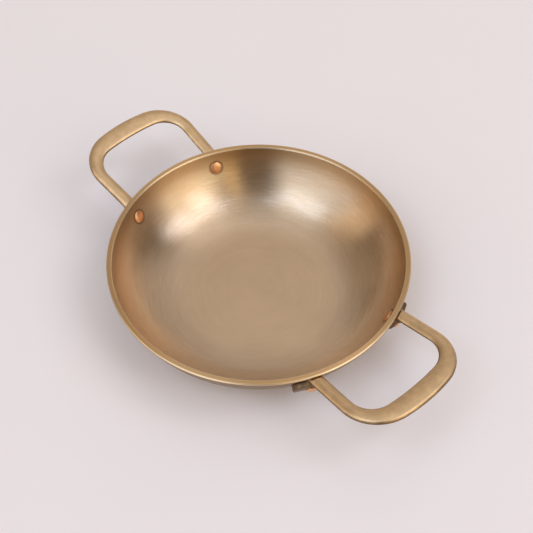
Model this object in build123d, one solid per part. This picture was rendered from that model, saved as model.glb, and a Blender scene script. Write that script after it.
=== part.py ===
from build123d import *
import math
import os

# Shallow round pan with two riveted loop handles. Millimetres, +Z up.
# The origin is the centre of the flat base, and the handles lie along +X and -X.

# Bowl
rim_diameter = 240.0
pan_height = 50.0
base_diameter = 120.0
wall = 3.0

# Lip round the top of the bowl
lip_overhang = 1.4
lip_height = 2.4
lip_top_round = 0.9
lip_under_round = 0.6
lip_inner_round = 0.5
lip_root_round = 0.4

# Loop handle, seen from above
handle_reach = 63.3
leg_spacing = 86.4
leg_width = 10.6
leg_splay = 3.2
grip_width = 16.4
grip_outer_bow = 10.0
grip_inner_bow = 4.2
outer_corner_round = 34.0
inner_corner_round = 19.0

# Loop handle, seen from the side
handle_thickness = 5.8
handle_edge_round = 2.2
handle_rise = 10.3
leg_drop = 4.8
lip_gap = 0.7

# Pad at the foot of each leg, set outward of the leg and above the rivet, and the web under the leg
pad_thickness = 5.0
pad_width = 21.4
pad_length = 17.6
pad_offset = 4.8
pad_lift = 1.4
pad_corner_round = 6.0
pad_edge_round = 0.8
web_reach = 9.0
web_drop = 4.4
web_edge_round = 1.2

# Copper rivets
rivet_drop = 14.5
rivet_offset = 1.2
shank_diameter = 5.0
inner_head_diameter = 10.2
inner_head_height = 1.6
outer_head_diameter = 10.0
outer_head_height = 2.6
head_edge_height = 0.8
head_sink = 0.6
rivet_clearance = 0.03

# How far cutting and trimming shapes run past the piece that they cut
overrun = 5.0

rim_radius = rim_diameter / 2
base_radius = base_diameter / 2
wall_top_radius = rim_radius - lip_overhang
wall_top_height = pan_height - lip_height

# The wall is one arc that leaves the base level and ends under the lip.
arc_run = wall_top_radius - base_radius
arc_turn = 2 * math.atan2(wall_top_height, arc_run)
outer_arc = arc_run / math.sin(arc_turn)
inner_arc = outer_arc - wall
rivet_turn = math.acos((outer_arc - pan_height + rivet_drop) / (outer_arc - wall / 2))
pad_skin = outer_arc + pad_thickness

# Where a leg's centre line crosses the edge of the rim, and where the bar that is cut to it starts
root_reach = math.sqrt(rim_radius**2 - (leg_spacing / 2) ** 2)
bar_start = root_reach - 2 * overrun


def on_arc(radius, turn):
    """Point of the wall's meridian at a distance from the arc's centre, turned up from the base."""
    return (base_radius + radius * math.sin(turn), outer_arc - radius * math.cos(turn))


def turn_at_height(radius, height):
    return math.acos((outer_arc - height) / radius)


def near(face, point):
    """The corner of a flat outline that lies nearest a point."""
    return min(face.vertices(), key=lambda corner: (corner.center() - Vector(*point)).length)


def rounded(face, corners):
    """A flat outline with its corners rounded, each by its own radius."""
    for point, radius in corners:
        face = fillet(near(face, point), radius)
    return face


def spun(face):
    return revolve(Plane.XZ * face, Axis.Z)


def arc_edge(radius, start_turn, end_turn):
    middle_turn = (start_turn + end_turn) / 2
    return ThreePointArc(on_arc(radius, start_turn), on_arc(radius, middle_turn), on_arc(radius, end_turn))


def bowl_blank():
    """The bowl before its rivet holes are drilled."""
    inner_turn = turn_at_height(inner_arc, pan_height)
    lip_root = on_arc(outer_arc, arc_turn)
    lip_low = (rim_radius, wall_top_height)
    lip_high = (rim_radius, pan_height)
    mouth = on_arc(inner_arc, inner_turn)
    outline = make_face([
        Line((0, 0), (base_radius, 0)),
        arc_edge(outer_arc, 0, arc_turn),
        Polyline(lip_root, lip_low, lip_high, mouth),
        arc_edge(inner_arc, inner_turn, 0),
        Polyline((base_radius, wall), (0, wall), (0, 0)),
    ])
    outline = rounded(outline, [
        (lip_root, lip_root_round),
        (lip_low, lip_under_round),
        (lip_high, lip_top_round),
        (mouth, lip_inner_round),
    ])
    return spun(outline)


def bowl_envelope():
    """Everything inside the bowl's outer wall and within the gap round its lip."""
    lip_floor = wall_top_height - lip_gap
    lip_turn = turn_at_height(outer_arc, lip_floor)
    outline = make_face([
        Line((0, 0), (base_radius, 0)),
        arc_edge(outer_arc, 0, lip_turn),
        Polyline(
            on_arc(outer_arc, lip_turn),
            (rim_radius + lip_gap, lip_floor),
            (rim_radius + lip_gap, pan_height + overrun),
            (0, pan_height + overrun),
            (0, 0),
        ),
    ])
    return spun(outline)


def loop_outline(side, bow, tip, corner_round):
    """One edge of the loop from above: two splayed sides and a bowed end, closed inside the bowl."""
    spread = math.tan(math.radians(leg_splay))
    corner_x = tip - bow
    start_y = side + (bar_start - root_reach) * spread
    corner_y = side + (corner_x - root_reach) * spread
    outline = make_face([
        Polyline((corner_x, -corner_y), (bar_start, -start_y), (bar_start, start_y), (corner_x, corner_y)),
        ThreePointArc((corner_x, corner_y), (tip, 0), (corner_x, -corner_y)),
    ])
    return rounded(outline, [
        ((corner_x, corner_y), corner_round),
        ((corner_x, -corner_y), corner_round),
    ])


def handle_loop():
    """The flat bar of the handle, with rounded edges, lifted and tilted to where it lies."""
    tip = rim_radius + handle_reach
    outer_side = (leg_spacing + leg_width) / 2
    inner_side = (leg_spacing - leg_width) / 2
    outer = loop_outline(outer_side, grip_outer_bow, tip, outer_corner_round)
    inner = loop_outline(inner_side, grip_inner_bow, tip - grip_width, inner_corner_round)
    bar = extrude(outer - inner, handle_thickness / 2, both=True)
    edges = [edge for face in bar.faces().filter_by(Axis.Z) for edge in face.edges()]
    bar = fillet([edge for edge in edges if edge.center().X > bar_start + overrun / 2], handle_edge_round)
    hinge = Pos(root_reach, 0, pan_height - leg_drop)
    return hinge * Rot(0, -handle_rise, 0) * Pos(-root_reach, 0, 0) * bar


def rivet_frame(side):
    """Frame at the centre of the wall's arc, with +Z along the rivet, out through the wall."""
    lateral = leg_spacing / 2 + rivet_offset
    reach = on_arc(pad_skin, rivet_turn)[0]
    azimuth = side * math.degrees(math.asin(lateral / reach))
    return Rot(0, 0, azimuth) * Pos(base_radius, 0, outer_arc) * Rot(0, 180 - math.degrees(rivet_turn), 0)


def pad(side):
    """Pad that lies on the outer wall, cut from a shell concentric with the wall.

    It reaches further outward from the leg than inward, and further above the rivet than below.
    """
    low_turn = rivet_turn - pad_length / outer_arc
    high_turn = turn_at_height(outer_arc, pan_height)
    shell = spun(make_face([
        arc_edge(outer_arc, low_turn, high_turn),
        Line(on_arc(outer_arc, high_turn), on_arc(pad_skin, high_turn)),
        arc_edge(pad_skin, high_turn, low_turn),
        Line(on_arc(pad_skin, low_turn), on_arc(outer_arc, low_turn)),
    ]))
    plate = extrude(RectangleRounded(pad_length, pad_width, pad_corner_round), pad_skin + overrun)
    piece = shell & (rivet_frame(side) * Pos(-pad_lift, side * (pad_offset - rivet_offset), 0) * plate)
    outward = Plane(rivet_frame(side))
    outer_face = piece.faces().sort_by(Axis(outward.origin, outward.z_dir))[-1]
    return fillet(outer_face.edges(), pad_edge_round)


def leg_web(side):
    """Curved web under the root of a leg, which carries the leg into its pad."""
    slope = math.radians(handle_rise)
    lateral = leg_spacing / 2
    underside = -handle_thickness / 2 / math.cos(slope)
    start = (web_reach, underside + web_reach * math.tan(slope))
    foot_z = underside - web_drop
    skin_radius = on_arc(pad_skin, turn_at_height(pad_skin, pan_height - leg_drop + foot_z))[0]
    foot = (math.sqrt(skin_radius**2 - lateral**2) - root_reach, foot_z)
    inside = foot[0] - overrun
    outline = make_face([
        Polyline(start, (web_reach, start[1] + handle_thickness / 2), (inside, 0), (inside, foot_z), foot),
        TangentArc(start, foot, tangent=(-math.cos(slope), -math.sin(slope))),
    ])
    web = extrude(Plane.XZ * outline, leg_width / 2, both=True)
    web = fillet(web.edges().filter_by(GeomType.CIRCLE), web_edge_round)
    return Pos(root_reach, side * lateral, pan_height - leg_drop) * Rot(0, 0, side * leg_splay) * web


def domed_head(seat, diameter, height, way):
    """A head with a short straight edge and a spherical crown, sunk a little below its seat."""
    radius = diameter / 2
    rise = height - head_edge_height
    ball = (radius**2 + rise**2) / (2 * rise)
    halfway = math.asin(radius / ball) / 2
    crown = seat + way * height
    shoulder = (ball * math.sin(halfway), crown - way * ball * (1 - math.cos(halfway)))
    edge = (radius, seat + way * head_edge_height)
    sunk = seat - way * head_sink
    outline = make_face([
        Polyline((0, crown), (0, sunk), (radius, sunk), edge),
        ThreePointArc(edge, shoulder, (0, crown)),
    ])
    return spun(outline)


def shank_shape(radius):
    length = wall + pad_thickness + 2 * head_sink
    shank = Cylinder(radius, length, align=(Align.CENTER, Align.CENTER, Align.MIN))
    return Pos(0, 0, inner_arc - head_sink) * shank


def rivet_hole(side):
    return rivet_frame(side) * shank_shape(shank_diameter / 2 + rivet_clearance)


def rivet(side, bowl, handle):
    """A closed rivet, whose heads are pressed to the form of the wall and of the pad."""
    inner_head = domed_head(inner_arc, inner_head_diameter, inner_head_height, -1)
    outer_head = domed_head(pad_skin, outer_head_diameter, outer_head_height, 1)
    blank = shank_shape(shank_diameter / 2) + inner_head + outer_head
    return rivet_frame(side) * blank - bowl - handle


def handle_body():
    """One casting: the loop, a web under each leg and a pad at each foot."""
    body = handle_loop() + leg_web(1) + leg_web(-1) - bowl_envelope()
    body += (pad(1) - bowl_envelope()) + (pad(-1) - bowl_envelope())
    return body - rivet_hole(1) - rivet_hole(-1)


bowl = bowl_blank()
for half_turn in (0, 180):
    for side in (1, -1):
        bowl -= Rot(0, 0, half_turn) * rivet_hole(side)

handle = handle_body()
rivets = {"front": rivet(-1, bowl, handle), "back": rivet(1, bowl, handle)}

os.makedirs("parts", exist_ok=True)
export_step(bowl, "parts/bowl.step")
for end, half_turn in (("right", 0), ("left", 180)):
    export_step(Rot(0, 0, half_turn) * handle, f"parts/handle_{end}.step")
    for place, piece in rivets.items():
        export_step(Rot(0, 0, half_turn) * piece, f"parts/rivet_{end}_{place}.step")
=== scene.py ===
# %% [markdown]
# # A bronze kadai with riveted loop handles
#
# The object is a shallow round pan: a spun bronze bowl with a flat brushed rim, two cast loop
# handles, and four copper rivets that hold them. A construction model already fixes where each piece
# is and how large it is. This lesson makes the meshes and the finishes that the eye sees, in the
# same frame and in metres, and then sets up a camera and soft studio light.
#
# The first cell loads the construction model. Its pieces can be measured but are never moved.

# %% Load the frame
import math

import bmesh
import bpy
import numpy as np
from mathutils import Matrix, Vector
from mathutils.kdtree import KDTree


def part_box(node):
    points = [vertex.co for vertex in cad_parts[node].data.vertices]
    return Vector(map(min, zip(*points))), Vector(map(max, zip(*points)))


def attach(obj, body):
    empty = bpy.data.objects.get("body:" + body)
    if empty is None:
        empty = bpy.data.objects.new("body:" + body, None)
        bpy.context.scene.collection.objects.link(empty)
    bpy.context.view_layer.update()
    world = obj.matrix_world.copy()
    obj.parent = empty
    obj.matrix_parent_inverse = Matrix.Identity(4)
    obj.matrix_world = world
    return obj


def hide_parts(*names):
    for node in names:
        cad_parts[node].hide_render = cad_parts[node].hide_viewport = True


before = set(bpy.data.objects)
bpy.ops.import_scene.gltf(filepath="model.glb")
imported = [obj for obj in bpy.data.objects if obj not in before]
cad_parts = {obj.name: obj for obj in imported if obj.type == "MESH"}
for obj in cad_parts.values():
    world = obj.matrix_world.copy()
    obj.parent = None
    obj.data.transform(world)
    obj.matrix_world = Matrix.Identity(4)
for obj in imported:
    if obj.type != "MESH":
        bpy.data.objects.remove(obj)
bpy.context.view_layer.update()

print("nodes:", sorted(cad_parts))

# %% [markdown]
# ## Sizes
#
# Everything here is worked out from a few sizes. The two largest are read from the frame; the others
# are the ones that a maker would choose, such as the wall, the lip and the width of a leg. Two helpers
# keep them readable: one for millimetres and one for the wall's own shape, which is a single arc that
# leaves the base level and ends under the lip.

# %% Sizes of the bowl
mm = 0.001
rim_radius, _, pan_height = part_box("bowl")[1]
base_radius = 60 * mm
wall = 3 * mm
lip_overhang = 1.4 * mm
lip_height = 2.4 * mm
lip_top_round = 0.9 * mm
lip_under_round = 0.6 * mm
lip_inner_round = 0.5 * mm
lip_gap = 0.7 * mm

wall_top_radius = rim_radius - lip_overhang
wall_top_height = pan_height - lip_height
arc_run = wall_top_radius - base_radius
arc_turn = 2 * math.atan2(wall_top_height, arc_run)
outer_arc = arc_run / math.sin(arc_turn)
inner_arc = outer_arc - wall


def on_arc(radius, turn):
    """A point of the wall's section, at a distance from the arc's centre and turned up from the base."""
    return base_radius + radius * math.sin(turn), outer_arc - radius * math.cos(turn)


def turn_at_height(radius, height):
    return math.acos((outer_arc - height) / radius)


print(f"rim {rim_radius * 2 / mm:.0f} mm, height {pan_height / mm:.0f} mm, wall arc {outer_arc / mm:.1f} mm")

# %% [markdown]
# ## Wires that know arithmetic
#
# Node trees, for materials and for geometry alike, are long to write by hand: every sum is a node and
# every link a call. So one small class wraps an output socket and gives it Python's operators, and one
# method adds any other node: first its settings, then the values or links of its sockets. After this,
# `(x * x + y * y).sqrt()` is four nodes and one line.


# %% The wire and the tree
class Wire:
    """An output socket. Sums and products with it add Math nodes to its tree."""

    def __init__(self, tree, socket):
        self.tree = tree
        self.socket = socket

    def out(self, name):
        """Another output of the same node."""
        return Wire(self.tree, self.socket.node.outputs[name])

    def maths(self, operation, *values):
        return self.tree.node("ShaderNodeMath", dict(enumerate(values)), operation=operation)

    def __add__(self, other):
        return self.maths("ADD", self, other)

    def __radd__(self, other):
        return self.maths("ADD", other, self)

    def __sub__(self, other):
        return self.maths("SUBTRACT", self, other)

    def __rsub__(self, other):
        return self.maths("SUBTRACT", other, self)

    def __mul__(self, other):
        return self.maths("MULTIPLY", self, other)

    def __rmul__(self, other):
        return self.maths("MULTIPLY", other, self)

    def __truediv__(self, other):
        return self.maths("DIVIDE", self, other)

    def sqrt(self):
        return self.maths("SQRT", self)

    def absolute(self):
        return self.maths("ABSOLUTE", self)

    def smooth_step(self, start, end):
        """0 below start, 1 above end, with a soft ramp between them."""
        sockets = {"Value": self, "From Min": start, "From Max": end}
        return self.tree.node("ShaderNodeMapRange", sockets, interpolation_type="SMOOTHSTEP")


class Tree:
    """A node tree that nodes are added to, one call each."""

    def __init__(self, tree):
        self.tree = tree

    def node(self, kind, sockets=(), out=0, items=0, **settings):
        """Adds a node, first its settings and then its sockets, and gives one output if it has any."""
        made = self.tree.nodes.new(kind)
        for name, value in settings.items():
            setattr(made, name, value)
        while len(getattr(made, "index_switch_items", ())) < items:
            made.index_switch_items.new()
        for name, value in dict(sockets).items():
            if isinstance(value, Wire):
                self.tree.links.new(value.socket, made.inputs[name])
            else:
                made.inputs[name].default_value = value
        return Wire(self, made.outputs[out]) if made.outputs else None

    def vector(self, x, y, z):
        return self.node("ShaderNodeCombineXYZ", {0: x, 1: y, 2: z})

    def axes(self, vector):
        parts = self.node("ShaderNodeSeparateXYZ", {0: vector})
        return parts.out("X"), parts.out("Y"), parts.out("Z")

    def noise(self, at, scale=1.0, detail=2.0, roughness=0.5):
        """Soft noise between 0 and 1, about 0.5 on average."""
        sockets = {"Vector": at, "Scale": scale, "Detail": detail, "Roughness": roughness}
        return self.node("ShaderNodeTexNoise", sockets)

    def blend(self, share, first, second):
        """A colour between two colours. A Mix node has a set of sockets for each type of data."""
        factor, colour_a, colour_b, mixed_colour = 0, 6, 7, 2
        sockets = {factor: share, colour_a: first, colour_b: second}
        return self.node("ShaderNodeMix", sockets, out=mixed_colour, data_type="RGBA")


# %% [markdown]
# ## Geometry trees
#
# A shape that follows a rule is made by a Geometry Nodes tree with named inputs, so that a reader can
# change a size and see the shape follow. The helpers here make an empty tree with those inputs, and run
# a finished tree once: the modifier's inputs are set, the result becomes a plain mesh, and the modifier
# goes away with the object that carried it.


# %% Making and running a geometry tree
pole_closing = 0.002 * mm
vertex_merging = 0.001 * mm


def add_object(name, data):
    """A new object at the origin, linked to the scene."""
    made = bpy.data.objects.new(name, data)
    bpy.context.scene.collection.objects.link(made)
    return made


def geometry_tree(name, sizes):
    """An empty tree with one input for each size and one for the metal, and those inputs as wires."""
    tree = Tree(bpy.data.node_groups.new(name, "GeometryNodeTree"))
    interface = tree.tree.interface
    for size in sizes:
        interface.new_socket(name=size, in_out="INPUT", socket_type="NodeSocketFloat")
    interface.new_socket(name="metal", in_out="INPUT", socket_type="NodeSocketMaterial")
    interface.new_socket(name="mesh", in_out="OUTPUT", socket_type="NodeSocketGeometry")
    inputs = tree.node("NodeGroupInput")
    return tree, {size: inputs.out(size) for size in (*sizes, "metal")}


def run_tree(tree, name, values):
    """Runs a tree on an empty mesh and returns what it makes, as an object with a plain mesh."""
    host = add_object(name + "_host", bpy.data.meshes.new(name + "_host"))
    modifier = host.modifiers.new("make", "NODES")
    modifier.node_group = tree.tree
    for socket in tree.tree.interface.items_tree:
        if socket.in_out == "INPUT":
            modifier[socket.identifier] = values[socket.name]
    made = bpy.data.meshes.new_from_object(host.evaluated_get(bpy.context.evaluated_depsgraph_get()))
    made.name = name
    bpy.data.objects.remove(host)
    return add_object(name, made)


def outline_curve(tree, corners):
    """A polyline through corners given as (x, z, rounding, steps), with each corner rounded."""
    index = tree.node("GeometryNodeInputIndex")

    def chosen(kind, values):
        sockets = {"Index": index}
        sockets.update({place + 1: value for place, value in enumerate(values)})
        return tree.node("GeometryNodeIndexSwitch", sockets, items=len(values), data_type=kind)

    places = chosen("VECTOR", [tree.vector(x, z, 0.0) for x, z, _, _ in corners])
    line = tree.node("GeometryNodeMeshLine", {"Count": len(corners)})
    line = tree.node("GeometryNodeSetPosition", {"Geometry": line, "Position": places})
    curve = tree.node("GeometryNodeMeshToCurve", {"Mesh": line})
    rounding = chosen("FLOAT", [corner[2] for corner in corners])
    steps = chosen("INT", [corner[3] for corner in corners])
    sockets = {"Curve": curve, "Radius": rounding, "Count": steps}
    return tree.node("GeometryNodeFilletCurve", sockets, mode="POLY")


def turned(tree, outline, segments):
    """Spins an outline in the XY plane about its Y axis, and stands the result up along Z."""
    rail_radius = 1.0
    rail = tree.node("GeometryNodeCurvePrimitiveCircle", {"Resolution": segments, "Radius": rail_radius})
    rail = tree.node("GeometryNodeReverseCurve", {"Curve": rail})
    half_turn = {"Geometry": outline, "Translation": (rail_radius, 0, 0), "Rotation": (0, 0, math.pi)}
    outline = tree.node("GeometryNodeTransform", half_turn)
    mesh = tree.node("GeometryNodeCurveToMesh", {"Curve": rail, "Profile Curve": outline})
    return tree.node("GeometryNodeMergeByDistance", {"Geometry": mesh, "Distance": pole_closing})


def finish_tree(tree, mesh, metal):
    """The end of every tree: plain geometry, smooth shading and the material."""
    mesh = tree.node("GeometryNodeRealizeInstances", {"Geometry": mesh})
    mesh = tree.node("GeometryNodeSetShadeSmooth", {"Geometry": mesh})
    mesh = tree.node("GeometryNodeSetMaterial", {"Geometry": mesh, "Material": metal})
    tree.node("NodeGroupOutput", {0: mesh})


def measure(piece):
    """Prints a piece's size and volume, and how many of its edges are open."""
    mesh = bmesh.new()
    mesh.from_mesh(piece.data)
    open_edges = sum(not edge.is_manifold for edge in mesh.edges)
    volume = mesh.calc_volume(signed=True)
    mesh.free()
    corners = np.array([vertex.co for vertex in piece.data.vertices])
    size = (corners.max(axis=0) - corners.min(axis=0)) / mm
    print(f"{piece.name}: {len(piece.data.polygons)} faces, {size.round(1)} mm, "
          f"{volume / mm**3 / 1000:.1f} cm3, {open_edges} open edges")


# %% [markdown]
# ## Where the rivets sit
#
# The rivets are named before any metal is, because the bowl gets painted shade round each of them. A rivet
# stands square to the wall: one angle says how far up the wall it is, and one how far round the pan.

# %% The rivets' places
leg_spacing = 86.4 * mm
rivet_drop = 14.5 * mm
rivet_offset = 1.2 * mm
inner_head_radius = 5.1 * mm
pad_thickness = 5 * mm
pad_skin = outer_arc + pad_thickness
rivet_turn = math.acos((outer_arc - pan_height + rivet_drop) / (outer_arc - wall / 2))
rivet_azimuth = math.asin((leg_spacing / 2 + rivet_offset) / on_arc(pad_skin, rivet_turn)[0])


def wall_point(azimuth, turn, distance):
    """A point at a distance from the wall's arc centre, placed by its turn and its azimuth."""
    radius, height = on_arc(distance, turn)
    return radius * math.cos(azimuth), radius * math.sin(azimuth), height


print(f"rivets {math.degrees(rivet_azimuth):.1f} degrees round and {math.degrees(rivet_turn):.1f} up the wall")

# %% [markdown]
# ## Brushed bronze
#
# The bowl's finish is the heart of the picture. It was brushed while it turned, so the scratches are
# nearly circles about the pan's axis. They can be drawn by noise that is stretched a long way round the
# circle and is very fine across it, and Object coordinates give both directions with no unwrapping: the
# direction from the axis goes round, and the distance from it, plus the height, goes across.
#
# Scratches that lie side by side also smear a reflection across themselves. On the wall that draws each
# lamp out into a streak that runs up to the rim, which the shader's anisotropy does. The floor of the
# bowl was finished with a pad that wandered, so its reflections are evenly soft. Two shaders are mixed,
# by how far out a point is, and a third adds the few scratches that are brighter than the rest.
#
# The tone gets browner toward the rim. Low in the bowl a thin clear film adds a whiter gleam over the
# bronze. That is the shader's coat, and its weight fades out up the wall.

# %% The metals
bronze = (0.66, 0.445, 0.265)
cast_bronze = (0.80, 0.53, 0.285)
rimward_bronze = (0.455, 0.295, 0.15)
painted_rivet_shade = (0.12, 0.06, 0.03)
outer_wall_tone = (0.31, 0.225, 0.155)
rim_land = (0.62, 0.365, 0.16)
edge_wear_and_highlight = (0.86, 0.62, 0.37)
burnish = (0.93, 0.84, 0.72)
painted_side_shade = (0.20, 0.125, 0.065)
copper = (0.93, 0.49, 0.25)
bowl_roughness = 0.25
burnish_roughness = 0.26
film_roughness = 0.24
film_ior = 1.5

print("bronze", bronze, "and copper", copper)

# %% [markdown]
# Each finish is one Principled shader, or a mix of a few. Its colour, roughness and film may be wires,
# because they change over the metal; the other sockets are plain numbers.


# %% Making a material
def opaque(colour, share=1.0):
    """A colour with its alpha, made darker or lighter by a share."""
    return tuple(channel * share for channel in colour) + (1.0,)


def metal_shader(tree, colour, roughness, normal, anisotropy=0.0, rotation=0.0, film=0.0):
    sockets = {"Base Color": colour, "Metallic": 1.0, "Roughness": roughness, "Normal": normal,
               "Anisotropic": anisotropy, "Anisotropic Rotation": rotation,
               "Coat Weight": film, "Coat Roughness": film_roughness, "Coat IOR": film_ior}
    return tree.node("ShaderNodeBsdfPrincipled", sockets)


def new_material(name):
    material = bpy.data.materials.new(name)
    material.use_nodes = True
    material.node_tree.nodes.clear()
    return material, Tree(material.node_tree)


def close_material(tree, shader):
    tree.node("ShaderNodeOutputMaterial", {"Surface": shader})


def bump(tree, height, depth):
    """A normal that tilts as if the surface were raised by a height of 0 to 1 times a depth."""
    return tree.node("ShaderNodeBump", {"Height": height, "Strength": 1.0, "Distance": depth})


# %% [markdown]
# Three masks say where the bowl isn't plain brushed metal. Round a rivet's head the bronze is painted
# darker, as shade. The outer wall is darker. The two rounded edges of the rim get a painted highlight,
# with some wear that keeps them bright. Each mask is worked out from the point's own place on the pan.


# %% Masks on the bowl
rivet_shade_reach = 1.45


def rivet_shade_mask(x, y, z):
    """Painted shade: 1 beside a rivet's inner head, fading out a little way from it."""
    head_x, head_y, head_z = wall_point(rivet_azimuth, rivet_turn, inner_arc)
    off_x, off_y, off_z = x.absolute() - head_x, y.absolute() - head_y, z - head_z
    away = (off_x * off_x + off_y * off_y + off_z * off_z).sqrt()
    return 1.0 - away.smooth_step(inner_head_radius, inner_head_radius * rivet_shade_reach)


def outside(tree, radius, z):
    """1 on the outer wall and under the base, 0 inside: measured from the centre of the wall's arc."""
    reach = tree.node("ShaderNodeMath", {0: radius - base_radius, 1: 0.0}, operation="MAXIMUM")
    drop = outer_arc - z
    from_centre = (reach * reach + drop * drop).sqrt()
    return from_centre.smooth_step(outer_arc - wall * 0.4, outer_arc - wall * 0.2)


def rim_edge_wear_and_highlight(radius, z):
    """1 on the two rounded edges of the rim: a painted highlight, with some wear that keeps them bright."""
    outer_edge = radius.smooth_step(rim_radius - lip_top_round * 1.2, rim_radius - lip_top_round * 0.7)
    mouth = on_arc(inner_arc, turn_at_height(inner_arc, pan_height))[0]
    inner_edge = 1.0 - radius.smooth_step(mouth + lip_inner_round * 0.5, mouth + lip_inner_round * 1.2)
    near_top = z.smooth_step(pan_height - lip_top_round * 1.6, pan_height - lip_top_round)
    return (outer_edge + inner_edge) * near_top


# %% [markdown]
# The finish itself puts these together. Three noises of different width make the brushing, and a fourth
# makes soft clouds. Each pair of distances below says where a change begins and where it is complete.

# %% The bowl's finish
axis_gap = 0.2 * mm
brushing_grows = (10 * mm, 80 * mm)
streaks_grow = (45 * mm, 95 * mm)
browning_heights = (30 * mm, 49 * mm)
film_ends = (16 * mm, 38 * mm)
rim_begins = (49.0 * mm, 49.6 * mm)
scratch_depth = 0.018 * mm
streak_turn = 0.25


def brushed_bowl():
    material, tree = new_material("brushed_bronze")
    place = tree.node("ShaderNodeTexCoord", out="Object")
    x, y, z = tree.axes(place)
    radius = (x * x + y * y).sqrt()
    reach = radius + axis_gap
    across = radius + z

    def brushing(spread, lines_per_mm, detail):
        """Noise in long arcs: slow round the axis, and so many lines to the millimetre across."""
        at = tree.vector(x / reach * spread, y / reach * spread, across * (lines_per_mm / mm))
        return tree.noise(at, detail=detail, roughness=0.6)

    hairs = brushing(spread=5.0, lines_per_mm=3.0, detail=3.0)
    strands = brushing(spread=2.2, lines_per_mm=0.9, detail=2.0)
    bands = brushing(spread=1.2, lines_per_mm=0.16, detail=2.0)
    clouds = tree.noise(place, scale=22.0, detail=3.0, roughness=0.55)
    calm = radius.smooth_step(*brushing_grows)
    grain = (hairs * 0.55 + strands * 0.45 - 0.5) * (0.18 + calm * 0.82) + 0.5
    outer = radius.smooth_step(*streaks_grow)
    toward_rim = z.smooth_step(*browning_heights)

    tone = tree.blend((grain * 0.55 + bands * 0.15 + clouds * 0.3).smooth_step(0.3, 0.7),
                      opaque(bronze, 0.86), opaque(bronze, 1.06))
    tone = tree.blend(toward_rim * 0.8, tone, opaque(rimward_bronze))
    # Painted shade round each rivet's inner head.
    tone = tree.blend(rivet_shade_mask(x, y, z) * 0.85, tone, opaque(painted_rivet_shade))
    tone = tree.blend(outside(tree, radius, z), tone, opaque(outer_wall_tone))
    tone = tree.blend(z.smooth_step(*rim_begins), tone, opaque(rim_land))
    # Painted highlight, with some wear, on the rim's two rounded edges.
    tone = tree.blend(rim_edge_wear_and_highlight(radius, z), tone, opaque(edge_wear_and_highlight))
    roughness = bowl_roughness + grain * 0.13 + clouds * 0.05 + (1.0 - outer) * 0.05
    normal = bump(tree, grain, scratch_depth)
    film = 1.0 - z.smooth_step(*film_ends)

    even = metal_shader(tree, tone, roughness, normal, film=film)
    streaked = metal_shader(tree, tone, roughness, normal, 0.9, streak_turn, film)
    brushed = tree.node("ShaderNodeMixShader", {0: outer, 1: even, 2: streaked})
    burnished = metal_shader(tree, opaque(burnish), burnish_roughness, normal, 0.6, streak_turn)
    lines = hairs.smooth_step(0.42, 0.68) * outer * (0.28 - toward_rim * 0.2)
    close_material(tree, tree.node("ShaderNodeMixShader", {0: lines, 1: brushed, 2: burnished}))
    return material


brushed_bronze = brushed_bowl()
print("material:", brushed_bronze.name, len(brushed_bronze.node_tree.nodes), "nodes")

# %% [markdown]
# ## Cast bronze and copper
#
# The handles are castings that were rubbed smooth by hand: satin, a little cloudy, with fine lines
# along the bar. Their mesh carries an attribute that runs along the bar, and the noise is stretched on
# that. The same attribute says how high on the bar a point is, and below the top of the bar its sides,
# underside, pads and webs get painted shade. The rivets are bare copper, closed with a hammer, so they
# have a soft dent here and there.

# %% Handle and rivet metals
line_length = 9 * mm
line_width = 0.35 * mm
shade_fade_low, shade_fade_high = 0.6 * mm, 2.6 * mm
shade_edge_wanders = 1.2 * mm
line_depth = 0.012 * mm
dent_depth = 0.05 * mm


def satin_handle():
    material, tree = new_material("satin_cast_bronze")
    lay = tree.node("ShaderNodeAttribute", out="Vector", attribute_name="lay")
    along, across, up = tree.axes(lay)
    place = tree.node("ShaderNodeTexCoord", out="Object")
    lines = tree.noise(tree.vector(along / line_length, across / line_width, up / line_width),
                       detail=3.0, roughness=0.6)
    clouds = tree.noise(place, scale=130.0, detail=4.0, roughness=0.6)
    grain = tree.noise(place, scale=1500.0, detail=2.0, roughness=0.6)
    mix = (lines * 0.5 + clouds * 0.5).smooth_step(0.32, 0.68)
    tone = tree.blend(mix, opaque(cast_bronze, 0.82), opaque(cast_bronze, 1.06))
    # Painted shade: the bar's sides and underside, and the pads and webs below it, are darkened.
    unshaded_top = (up + clouds * shade_edge_wanders).smooth_step(shade_fade_low, shade_fade_high)
    tone = tree.blend(unshaded_top, opaque(painted_side_shade), tone)
    roughness = 0.32 + lines * 0.08 + clouds * 0.08
    normal = bump(tree, lines * 0.6 + grain * 0.4, line_depth)
    close_material(tree, metal_shader(tree, tone, roughness, normal))
    return material


def bare_copper():
    material, tree = new_material("bare_copper")
    place = tree.node("ShaderNodeTexCoord", out="Object")
    dents = tree.noise(place, scale=420.0, detail=1.0)
    grain = tree.noise(place, scale=2500.0, detail=3.0, roughness=0.6)
    tone = tree.blend(grain.smooth_step(0.3, 0.7), opaque(copper, 0.85), opaque(copper, 1.05))
    normal = bump(tree, dents * 0.9 + grain * 0.1, dent_depth)
    close_material(tree, metal_shader(tree, tone, 0.3 + grain * 0.12, normal))
    return material


satin_bronze = satin_handle()
copper_metal = bare_copper()
print("materials:", satin_bronze.name, "and", copper_metal.name)

# %% [markdown]
# ## The bowl
#
# A spun bowl is a solid of revolution, so its mesh is an outline turned about the axis. The outline has
# eight corners only: the floor, the bend of the wall, the lip, and back down the inside. Two corners
# are rounded so far that they become the wall itself, and the small ones soften the lip. A changed
# corner reshapes the pan and touches nothing else, which a sculpted mesh can't offer.
#
# An arc that starts at a flat floor leaves a line that the eye finds at once in polished metal, because
# the reflections jump there. A real spun bowl has no such line, so the points of the inner outline are
# blurred near that place, by less than a millimetre, before the outline is turned.

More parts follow.
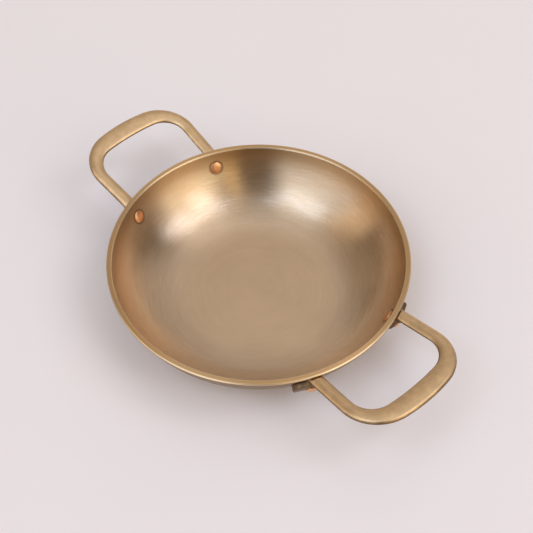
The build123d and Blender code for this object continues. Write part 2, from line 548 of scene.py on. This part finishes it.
# %% Turn the bowl
bowl_sizes = {
    "rim radius": rim_radius, "height": pan_height, "base radius": base_radius, "wall": wall,
    "overhang": lip_overhang, "lip height": lip_height, "top round": lip_top_round,
    "under round": lip_under_round, "inner round": lip_inner_round,
}
bowl_segments = 288
wall_steps = 64
edge_steps = 8
floor_cuts = 47
floor_ends = (0.004 * mm, 0.002 * mm)
softening_steps = 90
softening_begins = (10 * mm, 40 * mm)
softening_fades = (6 * mm, 42 * mm)
nearly_whole = 0.995


def soft_floor_edge(tree, outline, size):
    """Lets the flat floor run into the wall gradually, as spun metal does."""
    place = tree.node("GeometryNodeInputPosition")
    reach, height, _ = tree.axes(place)
    on_floor = (height - size["wall"]).absolute().smooth_step(*floor_ends)
    cuts = {"Curve": outline, "Cuts": on_floor * floor_cuts}
    outline = tree.node("GeometryNodeSubdivideCurve", cuts)
    first_inside = wall_steps + 3 * edge_steps
    inside = tree.node("GeometryNodeInputIndex") - first_inside
    weight = inside.smooth_step(0.0, 1.0) * reach.smooth_step(*softening_begins)
    weight = weight * (1.0 - height.smooth_step(*softening_fades))
    blur = {"Value": place, "Iterations": softening_steps, "Weight": weight}
    softened = tree.node("GeometryNodeBlurAttribute", blur, data_type="FLOAT_VECTOR")
    return tree.node("GeometryNodeSetPosition", {"Geometry": outline, "Position": softened})


def wall_arc(base, lip_root, lip_foot):
    """The radius of the wall's arc, and how far out the corner is that it rounds."""
    run = lip_root - base
    slope = lip_foot / run
    return run * (1 + slope * slope) / (2 * slope), base + run * (1 + slope * slope) / 2


def bowl_tree():
    tree, size = geometry_tree("spun bowl", bowl_sizes)
    base, wall_size, height = size["base radius"], size["wall"], size["height"]
    lip_root = size["rim radius"] - size["overhang"]
    lip_foot = height - size["lip height"]
    arc, outside_bend = wall_arc(base, lip_root, lip_foot)
    inside_arc = arc - wall_size
    level = (arc - height) / inside_arc
    lean = (1 - level * level).sqrt()
    mouth = base + inside_arc * lean
    inside_bend = base + inside_arc * (1 - level) / lean
    outline = outline_curve(tree, [
        (0.0, 0.0, 0.0, 1),
        (outside_bend, 0.0, arc * nearly_whole, wall_steps),
        (lip_root, lip_foot, 0.0, 1),
        (size["rim radius"], lip_foot, size["under round"], edge_steps),
        (size["rim radius"], height, size["top round"], edge_steps),
        (mouth, height, size["inner round"], edge_steps),
        (inside_bend, wall_size, inside_arc * nearly_whole, wall_steps),
        (0.0, wall_size, 0.0, 1),
    ])
    outline = soft_floor_edge(tree, outline, size)
    finish_tree(tree, turned(tree, outline, bowl_segments), size["metal"])
    return tree


bowl = run_tree(bowl_tree(), "bowl_spun", {**bowl_sizes, "metal": brushed_bronze})
measure(bowl)
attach(bowl, "root")
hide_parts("bowl")

# %% [markdown]
# ## The loop handles
#
# Seen from above, a handle has two edges: the outer one is wide and round at its corners, the inner one
# is tighter, and the grip between them is broader than the legs. A sweep of one section can't do that.
# So both edges are written as the same three stretches (a straight leg, a corner, half a bowed grip),
# and each station of the bar joins the point on one edge to the point on the other with a section of
# its own width. The bar is made lying level, and a matrix tilts it up from the rim.

# %% Sizes of a handle
handle_reach = 63.3 * mm
leg_width = 10.6 * mm
leg_splay = math.radians(3.2)
grip_width = 16.4 * mm
grip_outer_bow = 10 * mm
grip_inner_bow = 4.2 * mm
outer_corner_round = 34 * mm
inner_corner_round = 19 * mm
handle_thickness = 5.8 * mm
handle_edge_round = 1.9 * mm
handle_crown = 1.0 * mm
handle_rise = math.radians(10.3)
leg_drop = 4.8 * mm
leg_overlap = 10 * mm

root_reach = math.sqrt(rim_radius**2 - (leg_spacing / 2) ** 2)
bar_start = root_reach - leg_overlap
tip_reach = rim_radius + handle_reach
hinge = Matrix.Translation((root_reach, 0, pan_height - leg_drop))
hinge = hinge @ Matrix.Rotation(-handle_rise, 4, "Y") @ Matrix.Translation((-root_reach, 0, 0))
print(f"the grip reaches {tip_reach / mm:.1f} mm from the axis and rises "
      f"{math.degrees(handle_rise):.1f} degrees")

# %% [markdown]
# The corner of an edge touches both the leg and the bow of the grip. Its centre is as far from the leg
# as its own radius, and nearer the bow's centre than the bow is by that radius. The two conditions meet
# in a quadratic, which has the centre's place along the pan as its larger root.


# %% The two edges from above
def half_edge(side, bow, tip, corner_round, steps):
    """One edge of the loop from above, from the root of the leg to the middle of the grip."""
    spread = math.tan(leg_splay)
    corner = np.array((tip - bow, side + (tip - bow - root_reach) * spread))
    bow_radius = (corner[1] ** 2 + bow**2) / (2 * bow)
    bow_centre = np.array((tip - bow_radius, 0.0))
    offset = side - root_reach * spread - corner_round / math.cos(leg_splay)
    a = 1 + spread**2
    b = 2 * (offset * spread - bow_centre[0])
    c = bow_centre[0] ** 2 + offset**2 - (bow_radius - corner_round) ** 2
    centre_x = (-b + math.sqrt(b * b - 4 * a * c)) / (2 * a)
    centre = np.array((centre_x, offset + spread * centre_x))
    away = (centre - bow_centre) / np.linalg.norm(centre - bow_centre)
    first_angle = math.pi / 2 + leg_splay
    last_angle = math.atan2(away[1], away[0])

    def arc(middle, radius, start, end, count):
        angles = np.linspace(start, end, count)
        return middle + radius * np.stack((np.cos(angles), np.sin(angles)), axis=1)

    bend = arc(centre, corner_round, first_angle, last_angle, steps)
    grip = arc(bow_centre, bow_radius, last_angle, 0.0, steps)
    root = np.array((bar_start, side + (bar_start - root_reach) * spread))
    leg = root + np.linspace(0, 1, steps)[:, None] * (bend[0] - root)
    return np.concatenate((leg[:-1], bend[:-1], grip))


def whole_edge(side, bow, tip, corner_round, steps=28):
    """Half an edge and its mirror image, as one run from root to root."""
    half = half_edge(side, bow, tip, corner_round, steps)
    return np.concatenate((half, half[-2::-1] * np.array((1.0, -1.0))))


outer_edge = whole_edge((leg_spacing + leg_width) / 2, grip_outer_bow, tip_reach, outer_corner_round)
inner_edge = whole_edge((leg_spacing - leg_width) / 2, grip_inner_bow, tip_reach - grip_width,
                        inner_corner_round)
print(len(outer_edge), "stations from root to root")

# %% [markdown]
# The bar's section is a slab with round edges and a crown on its flats, as a casting has after
# polishing. At every station a ring of section points is set across the bar, each ring is joined to the
# next by quads, and a face closes each root. The roots run on into the bowl; they are cut off later by
# the same shape that clears the lip.


# %% The bar as rings of points
def bar_section(half_width, steps=6, flat_steps=8):
    """The bar's section: a crowned slab grown by the radius of its rounded edges."""
    core_width = half_width - handle_edge_round
    core_height = handle_thickness / 2 - handle_edge_round - handle_crown
    slope = math.atan2(2 * handle_crown, core_width)
    share = np.linspace(1, -1, flat_steps)
    lean = np.arctan2(2 * handle_crown * share, core_width)
    top_x = core_width * share + handle_edge_round * np.sin(lean)
    top_z = core_height + handle_crown * (1 - share**2) + handle_edge_round * np.cos(lean)
    turn = np.linspace(math.pi / 2 + slope, math.pi, steps)[1:]
    corner_x = -core_width + handle_edge_round * np.cos(turn)
    corner_z = core_height + handle_edge_round * np.sin(turn)
    half = np.stack((np.concatenate((top_x, corner_x)), np.concatenate((top_z, corner_z))), axis=1)
    return np.concatenate((half, -half))


def mesh_object(name, points, faces):
    mesh = bpy.data.meshes.new(name)
    mesh.from_pydata([tuple(point) for point in points], [], faces)
    mesh.validate()
    made = bmesh.new()
    made.from_mesh(mesh)
    bmesh.ops.remove_doubles(made, verts=made.verts, dist=vertex_merging)
    bmesh.ops.recalc_face_normals(made, faces=made.faces)
    made.to_mesh(mesh)
    made.free()
    return add_object(name, mesh)


def ring_faces(rings, count):
    """Quads between rings of points, with a face over the first and the last ring."""
    faces = []
    for ring in range(rings - 1):
        for place in range(count):
            following = (place + 1) % count
            start, end = ring * count, (ring + 1) * count
            faces.append((start + place, start + following, end + following, end + place))
    faces.append(tuple(range(count)))
    faces.append(tuple((rings - 1) * count + place for place in range(count)))
    return faces


def loop_bar():
    rings = []
    for inner, outer in zip(inner_edge, outer_edge):
        middle = (inner + outer) / 2
        across = (outer - inner) / 2
        half_width = np.linalg.norm(across)
        across = across / half_width
        section = bar_section(half_width)
        ring = np.zeros((len(section), 3))
        ring[:, :2] = middle + section[:, :1] * across
        ring[:, 2] = section[:, 1]
        rings.append(ring)
    points = np.concatenate(rings)
    bar = mesh_object("loop_bar", points, ring_faces(len(rings), len(rings[0])))
    bar.data.transform(hinge)
    return bar


bar = loop_bar()
measure(bar)

# %% [markdown]
# ## Pads and webs
#
# Each leg ends in a pad that lies on the bowl's outer wall, with a curved web between them. The pad is
# drawn in the wall's own directions, up the wall and round it: a soft squared outline whose thickness
# falls away only at its edge. Its underside is sunk in the wall and cut to it later. The web is the side
# view of a bracket, as wide as the leg at its foot and tapered to where it runs out under the leg.

# %% Pads and webs
pad_width = 21.4 * mm
pad_length = 17.6 * mm
pad_offset = 4.8 * mm
pad_lift = 1.4 * mm
web_reach = 9 * mm
web_drop = 4.4 * mm
web_taper = 3.2 * mm


def wall_pad(side, rings=24, count=96, squareness=3.6, edge_sharpness=14.0):
    ring_radius = on_arc(outer_arc, rivet_turn)[0]
    middle_turn = rivet_turn + pad_lift / outer_arc
    middle_azimuth = side * (rivet_azimuth + (pad_offset - rivet_offset) / ring_radius)
    points = []
    for ring in range(rings + 1):
        share = math.sin(math.pi / 2 * ring / rings)
        thickness = pad_thickness * max(0.0, 1 - share**edge_sharpness) ** (1 / edge_sharpness)
        for step in range(count):
            angle = 2 * math.pi * step / count
            cosine, sine = math.cos(angle), math.sin(angle)
            span = (abs(cosine) ** squareness + abs(sine) ** squareness) ** (-1 / squareness)
            up_wall = pad_length / 2 * span * cosine * share
            round_wall = pad_width / 2 * span * sine * share
            turn = middle_turn + up_wall / outer_arc
            azimuth = middle_azimuth + round_wall / ring_radius
            points.append(wall_point(azimuth, turn, outer_arc + thickness))
    under = []
    for step in range(count):
        outer_point = Vector(points[rings * count + step])
        arc_centre = Vector(wall_point(math.atan2(outer_point.y, outer_point.x), 0, 0))
        under.append(tuple(outer_point + (arc_centre - outer_point).normalized() * wall / 2))
    return mesh_object("pad", points + under, ring_faces(rings + 2, count))


def leg_web(side, steps=24):
    lateral = leg_spacing / 2
    underside = -handle_thickness / 2 / math.cos(handle_rise)
    start = np.array((web_reach, underside + web_reach * math.tan(handle_rise)))
    foot_z = underside - web_drop
    skin = on_arc(pad_skin, turn_at_height(pad_skin, pan_height - leg_drop + foot_z))[0]
    foot = np.array((math.sqrt(skin**2 - lateral**2) - root_reach, foot_z))
    inside = foot[0] - leg_overlap / 2
    tangent = -np.array((math.cos(handle_rise), math.sin(handle_rise)))
    normal = np.array((-tangent[1], tangent[0]))
    chord = foot - start
    radius = chord @ chord / (2 * abs(chord @ normal))
    centre = start + normal * math.copysign(radius, chord @ normal)
    first = math.atan2(*(start - centre)[::-1])
    last = math.atan2(*(foot - centre)[::-1])
    if last < first:
        last += 2 * math.pi
    if last - first > math.pi:
        last -= 2 * math.pi
    curve = [centre + radius * np.array((math.cos(angle), math.sin(angle)))
             for angle in np.linspace(first, last, steps)]
    outline = curve + [(inside, foot_z), (inside, 0.0), (web_reach, start[1] + handle_thickness / 2)]
    points = []
    for way in (-1, 1):
        for x, z in outline:
            share = np.clip((x - foot[0]) / (web_reach - foot[0]), 0, 1)
            points.append((x, way * (leg_width / 2 - web_taper * share), z))
    web = mesh_object("web", points, ring_faces(2, len(outline)))
    place = Matrix.Translation((root_reach, side * lateral, pan_height - leg_drop))
    web.data.transform(place @ Matrix.Rotation(side * leg_splay, 4, "Z"))
    return web


feet = [wall_pad(1), wall_pad(-1), leg_web(1), leg_web(-1)]
for foot in feet:
    measure(foot)

# %% [markdown]
# ## One casting
#
# The handle must follow the wall and stay clear of the lip. So the bowl's outer form, widened by the
# gap round the lip and raised past the rim, is turned once more as a tool to cut the casting with.


# %% The tool that clears the bowl
def clearance_tree():
    sizes = ("rim radius", "lip foot", "base radius", "lip root", "ceiling")
    tree, size = geometry_tree("bowl with clearance", sizes)
    lip_root, lip_foot = size["lip root"], size["lip foot"]
    arc, bend = wall_arc(size["base radius"], lip_root, lip_foot)
    outline = outline_curve(tree, [
        (0.0, 0.0, 0.0, 1),
        (bend, 0.0, arc * nearly_whole, wall_steps),
        (lip_root, lip_foot, 0.0, 1),
        (size["rim radius"], lip_foot, 0.0, 1),
        (size["rim radius"], size["ceiling"], 0.0, 1),
        (0.0, size["ceiling"], 0.0, 1),
    ])
    finish_tree(tree, turned(tree, outline, bowl_segments), size["metal"])
    return tree


lip_floor = wall_top_height - lip_gap
cutter = run_tree(clearance_tree(), "cutter", {
    "rim radius": rim_radius + lip_gap, "lip foot": lip_floor, "base radius": base_radius,
    "lip root": on_arc(outer_arc, turn_at_height(outer_arc, lip_floor))[0],
    "ceiling": pan_height + leg_overlap, "metal": satin_bronze,
})
measure(cutter)

# %% [markdown]
# The bar, webs and pads are united, the tool is cut away from them, and the result is remeshed into
# even quads and relaxed. That last step is what makes it a casting: every inside corner gets the small
# soft fillet that molten metal leaves, which separate parts never have.


# %% Unite, cut, remesh and relax
def apply_modifiers(piece):
    """Replaces a piece's mesh by what its modifiers make of it."""
    evaluated = piece.evaluated_get(bpy.context.evaluated_depsgraph_get())
    finished = bpy.data.meshes.new_from_object(evaluated)
    piece.modifiers.clear()
    piece.data = finished


def combine(piece, other, operation):
    modifier = piece.modifiers.new(operation.lower(), "BOOLEAN")
    modifier.operation = operation
    modifier.solver = "MANIFOLD"
    modifier.object = other
    apply_modifiers(piece)
    bpy.data.objects.remove(other)


def cast_handle(voxel=0.38 * mm, relaxing=11):
    casting = bar
    for foot in feet:
        combine(casting, foot, "UNION")
    combine(casting, cutter, "DIFFERENCE")
    measure(casting)
    remesh = casting.modifiers.new("even quads", "REMESH")
    remesh.mode = "VOXEL"
    remesh.voxel_size = voxel
    relax = casting.modifiers.new("relax", "SMOOTH")
    relax.factor = 0.5
    relax.iterations = relaxing
    apply_modifiers(casting)
    casting.data.materials.clear()
    casting.data.materials.append(satin_bronze)
    for polygon in casting.data.polygons:
        polygon.use_smooth = True
    return casting


right_handle = cast_handle()
right_handle.name = "handle_cast_right"

# %% [markdown]
# The brushed lines need to know which way the bar runs, and a remeshed piece has forgotten it. So each
# vertex looks up the nearest station of the bar and stores how far along, across and up it lies.


# %% Which way the bar runs
def store_lay(piece):
    """Stores how far along, across and above the bar's middle line each vertex lies."""
    middles = (inner_edge + outer_edge) / 2
    travelled = np.concatenate(([0], np.cumsum(np.linalg.norm(np.diff(middles, axis=0), axis=1))))
    line = [hinge @ Vector((x, y, 0)) for x, y in middles]
    lookup = KDTree(len(line))
    for index, point in enumerate(line):
        lookup.insert(point, index)
    lookup.balance()
    bar_normal = hinge.to_3x3().col[2]
    layer = piece.data.attributes.new("lay", "FLOAT_VECTOR", "POINT")
    lays = np.zeros((len(piece.data.vertices), 3), dtype=np.float32)
    for vertex in piece.data.vertices:
        index = min(max(lookup.find(vertex.co)[1], 1), len(line) - 2)
        course = (line[index + 1] - line[index - 1]).normalized()
        offset = vertex.co - line[index]
        along = travelled[index] + offset.dot(course)
        lays[vertex.index] = (along, offset.dot(course.cross(bar_normal)), offset.dot(bar_normal))
    layer.data.foreach_set("vector", lays.ravel())


store_lay(right_handle)
print("each vertex of the casting has its lay:", len(right_handle.data.vertices))

# %% [markdown]
# Both handles come from one mould. The left one is a copy of the right one's mesh, turned by half a turn
# in the mesh itself, so that its object stays at the origin like every other piece.

# %% Two handles
left_handle = add_object("handle_cast_left", right_handle.data.copy())
left_handle.data.transform(Matrix.Rotation(math.pi, 4, "Z"))
for piece, node in ((right_handle, "handle_right"), (left_handle, "handle_left")):
    measure(piece)
    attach(piece, "root")
    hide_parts(node)

# %% [markdown]
# ## The rivets
#
# A rivet is turned too, so it uses the same spinning nodes as the bowl, with its own outline: a low head
# inside, a shank through wall and pad, and a taller head outside. The tree leans it square to the wall
# and carries it round the pan, and is run once for each of the four.

# %% Turn and set the rivets
rivet_sizes = {
    "shank radius": 2.5 * mm, "inner radius": inner_head_radius, "inner height": 1.6 * mm,
    "outer radius": 5 * mm, "outer height": 2.6 * mm, "edge height": 0.8 * mm, "sink": 0.6 * mm,
    "shoulder round": 0.45 * mm, "inner seat": inner_arc, "outer seat": pad_skin,
    "arc radius": base_radius, "arc height": outer_arc, "turn": rivet_turn, "azimuth": 0.0,
}
rivet_segments = 64
flat_share = 0.55


def rivet_tree():
    tree, size = geometry_tree("closed rivet", rivet_sizes)
    shank, seat_in, seat_out = size["shank radius"], size["inner seat"], size["outer seat"]
    edge, sink, soft = size["edge height"], size["sink"], size["shoulder round"]
    inner, outer = size["inner radius"], size["outer radius"]
    low, high = size["inner height"], size["outer height"]
    outline = outline_curve(tree, [
        (0.0, seat_in - low, 0.0, 1),
        (inner * flat_share, seat_in - low, inner * 1.6, 10),
        (inner, seat_in - edge, soft, 6),
        (inner, seat_in + sink, 0.0, 1),
        (shank, seat_in + sink, 0.0, 1),
        (shank, seat_out - sink, 0.0, 1),
        (outer, seat_out - sink, 0.0, 1),
        (outer, seat_out + edge, soft, 6),
        (outer * flat_share, seat_out + high, outer * 0.9, 10),
        (0.0, seat_out + high, 0.0, 1),
    ])
    rivet = turned(tree, outline, rivet_segments)
    leaned = tree.vector(0.0, math.pi - size["turn"], 0.0)
    centre = tree.vector(size["arc radius"], 0.0, size["arc height"])
    rivet = tree.node("GeometryNodeTransform", {"Geometry": rivet, "Translation": centre, "Rotation": leaned})
    around = tree.vector(0.0, 0.0, size["azimuth"])
    rivet = tree.node("GeometryNodeTransform", {"Geometry": rivet, "Rotation": around})
    finish_tree(tree, rivet, size["metal"])
    return tree


closed_rivet = rivet_tree()
for end, half_turn in (("right", 0.0), ("left", math.pi)):
    for place, side in (("front", -1), ("back", 1)):
        values = {**rivet_sizes, "azimuth": half_turn + side * rivet_azimuth, "metal": copper_metal}
        rivet = run_tree(closed_rivet, f"rivet_{end}_{place}_turned", values)
        measure(rivet)
        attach(rivet, "root")
        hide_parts(f"rivet_{end}_{place}")

# %% [markdown]
# ## Camera
#
# The camera is set by what a photographer would note: how far round the pan it stands, how high it
# looks down from, how far away it is and how long its lens is. The pan is aimed at a little above and
# to the left of the middle of the picture.

# %% Set up the camera
picture_width = 533
focal_pixels = 1000
camera_azimuth = math.radians(49.2)
camera_elevation = math.radians(51.8)
camera_distance = 6.577 * rim_radius
aim_right = math.tan(math.radians(0.436)) * camera_distance
aim_down = math.tan(math.radians(0.752)) * camera_distance

level_back = Vector((math.sin(camera_azimuth), -math.cos(camera_azimuth), 0))
to_right = Vector((math.cos(camera_azimuth), math.sin(camera_azimuth), 0))
backward = level_back * math.cos(camera_elevation) + Vector((0, 0, math.sin(camera_elevation)))
rim_centre = Vector((0, 0, pan_height))
camera_data = bpy.data.cameras.new("studio_camera")
camera_data.lens = focal_pixels / picture_width * camera_data.sensor_width
camera = add_object("studio_camera", camera_data)
camera.location = rim_centre + backward * camera_distance
aim = rim_centre + to_right * aim_right - backward.cross(to_right) * aim_down
camera.rotation_euler = (aim - camera.location).to_track_quat("-Z", "Y").to_euler()
bpy.context.scene.camera = camera
print("camera at", [round(value, 3) for value in camera.location], "lens", round(camera_data.lens, 1))

# %% [markdown]
# ## Light and ground
#
# Polished metal shows its surroundings, so the light is part of the finish. A bowl is a hollow mirror,
# which swaps the sides: the bright patch on the left of the far wall comes from the two lamps on the
# right, and the patch on its right from the cooler lamp on the left. Between the patches the wall
# reflects the dim room behind the camera, and that dark band is what makes it look like metal. Each
# lamp is given by its glow, the brightness that the metal shows, and its power follows from that.


# %% Lamps
studio_reach = 4.0
lamps = (
    # name, azimuth, elevation, width, height, glow
    ("right_box", 87, 52, 0.34, 0.50, (2.65, 2.85, 3.25)),
    ("right_strip", 55, 52, 0.26, 0.68, (1.80, 2.00, 2.36)),
    ("left_box", -50, 60, 0.54, 0.44, (1.48, 1.85, 2.44)),
)


def toward(azimuth, elevation):
    """A direction from the pan. Azimuth 0 is over the camera, and 90 is on its right."""
    turn, lift = math.radians(azimuth), math.radians(elevation)
    level = level_back * math.cos(turn) + to_right * math.sin(turn)
    return level * math.cos(lift) + Vector((0, 0, math.sin(lift)))


def softbox(name, direction, width, height, glow):
    """A rectangular lamp aimed at the pan, as wide and high as it would be at a distance of one metre."""
    lamp = bpy.data.lights.new(name, "AREA")
    lamp.shape = "RECTANGLE"
    lamp.size, lamp.size_y = width * studio_reach, height * studio_reach
    brightest = max(glow)
    lamp.energy = brightest * math.pi * lamp.size * lamp.size_y
    lamp.color = [channel / brightest for channel in glow]
    box = add_object(name, lamp)
    box.location = direction * studio_reach
    box.rotation_euler = (-direction).to_track_quat("-Z", "Y").to_euler()
    print(f"{name}: {lamp.size:.2f} x {lamp.size_y:.2f} m, {lamp.energy:.0f} W")


for name, azimuth, elevation, width, height, glow in lamps:
    softbox(name, toward(azimuth, elevation), width, height, glow)

# %% [markdown]
# ## The room
#
# The rest of the room is a world with a few soft panels. Each is placed like a lamp, has a half width
# and a half height in degrees, and fades out round its edge. Low and tall ones on both sides draw
# streaks up the far wall of the bowl. None stands right behind the camera, which leaves the dark band,
# and the far side is pale, because the flat floor of the bowl and the tops of the handles show it. At
# the horizon and below it the world has nearly the tone of the paper.


# %% The room
room_panels = (
    # azimuth, elevation, half width, half height, glow
    (52, 6, 25, 44, (1.32, 1.22, 0.92)),
    (21, 28, 6, 40, (1.00, 0.78, 0.42)),
    (-46, 18, 32, 46, (0.90, 1.02, 1.16)),
    (-87, 34, 12, 32, (0.96, 0.82, 0.62)),
    (163, 34, 48, 44, (0.42, 0.42, 0.42)),
    (176, 64, 44, 20, (0.20, 0.21, 0.23)),
    (-126, 44, 22, 26, (0.24, 0.21, 0.17)),
    (0, 90, 400, 28, (0.47, 0.51, 0.55)),
)
room_shade = (0.100, 0.080, 0.062)
far_paper = (0.80, 0.71, 0.69)
panel_fade = (1.25, 0.75)
horizon_fade = (math.radians(1.5), math.radians(5))


def room():
    world = bpy.data.worlds.new("studio")
    world.use_nodes = True
    world.node_tree.nodes.clear()
    tree = Tree(world.node_tree)
    x, y, z = tree.axes(tree.node("ShaderNodeTexCoord", out="Generated"))
    lift = tree.node("ShaderNodeMath", {0: z}, operation="ARCSINE")
    glow = room_shade
    for azimuth, elevation, half_width, half_height, colour in room_panels:
        ahead = toward(azimuth, 0)
        sockets = {0: x * ahead.y - y * ahead.x, 1: x * ahead.x + y * ahead.y}
        turn = tree.node("ShaderNodeMath", sockets, operation="ARCTAN2")
        sideways = turn / math.radians(half_width)
        upwards = (lift - math.radians(elevation)) / math.radians(half_height)
        share = (sideways * sideways + upwards * upwards).sqrt().smooth_step(*panel_fade)
        glow = tree.node("ShaderNodeVectorMath", {0: share, 1: colour, 2: glow}, operation="MULTIPLY_ADD")
    glow = tree.blend(lift.smooth_step(*horizon_fade), opaque(far_paper), glow)
    made = tree.node("ShaderNodeBackground", {"Color": glow, "Strength": 1.0})
    tree.node("ShaderNodeOutputWorld", {"Surface": made})
    bpy.context.scene.world = world
    print("world:", len(room_panels), "panels")


room()

# %% [markdown]
# ## The floor
#
# The pan stands on pale pink-grey paper with a slight mottle. It is one flat sheet, so large that only
# a view from low down shows its far edge, as a soft line. It takes the pan's soft shadow, which shows
# that the pan stands on it.


# %% The floor
floor_half = 6.0
paper_tones = ((0.935, 0.830, 0.800), (0.955, 0.850, 0.820))


def studio_floor():
    mesh = bmesh.new()
    bmesh.ops.create_grid(mesh, x_segments=1, y_segments=1, size=floor_half)
    data = bpy.data.meshes.new("studio_floor")
    mesh.to_mesh(data)
    mesh.free()
    floor = add_object("studio_floor", data)
    material, tree = new_material("studio_paper")
    mottle = tree.noise(tree.node("ShaderNodeTexCoord", out="Object"), scale=9.0)
    tone = tree.blend(mottle, *(opaque(shade) for shade in paper_tones))
    paper = {"Base Color": tone, "Roughness": 0.9, "Specular IOR Level": 0.2}
    close_material(tree, tree.node("ShaderNodeBsdfPrincipled", paper))
    data.materials.append(material)
    print("floor:", 2 * floor_half, "m square")


studio_floor()
bpy.context.scene.view_settings.view_transform = "Standard"
